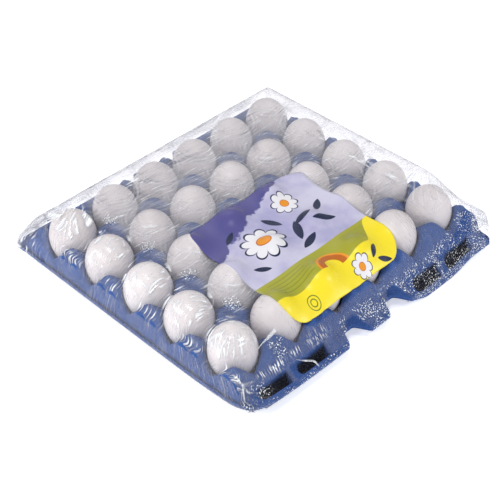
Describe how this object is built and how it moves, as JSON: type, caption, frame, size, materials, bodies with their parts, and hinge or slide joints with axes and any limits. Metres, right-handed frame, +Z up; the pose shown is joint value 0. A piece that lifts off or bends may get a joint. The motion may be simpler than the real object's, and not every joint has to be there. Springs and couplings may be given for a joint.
{
  "type": "wrapped tray of eggs",
  "caption": "Square moulded pulp tray full of white eggs, wrapped in clear shrink film with a printed label over one side.",
  "frame": {"origin": "middle of the ground area that the wrapped tray covers, at the level of the cup feet", "axes": "+X along the rows of six eggs, +Y along the columns of five, away from the side that the label hangs over, +Z up"},
  "size_m": [0.3024, 0.3064, 0.0603],
  "materials": {
    "pulp": "matt dyed moulded pulp",
    "shell": "fine matt egg shell with a slight sheen",
    "print": "glossy printed label",
    "film": "clear glossy shrink film"
  },
  "bodies": {
    "root": {"tray": "pulp", "egg_1_1": "shell", "egg_1_2": "shell", "egg_1_3": "shell", "egg_1_4": "shell", "egg_1_5": "shell", "egg_1_6": "shell", "egg_2_1": "shell", "egg_2_2": "shell", "egg_2_3": "shell", "egg_2_4": "shell", "egg_2_5": "shell", "egg_2_6": "shell", "egg_3_1": "shell", "egg_3_2": "shell", "egg_3_3": "shell", "egg_3_4": "shell", "egg_3_5": "shell", "egg_3_6": "shell", "egg_4_1": "shell", "egg_4_2": "shell", "egg_4_3": "shell", "egg_4_4": "shell", "egg_4_5": "shell", "egg_4_6": "shell", "egg_5_1": "shell", "egg_5_2": "shell", "egg_5_3": "shell", "egg_5_4": "shell", "egg_5_5": "shell", "egg_5_6": "shell", "label": "print", "film": "film"}
  },
  "joints": []
}
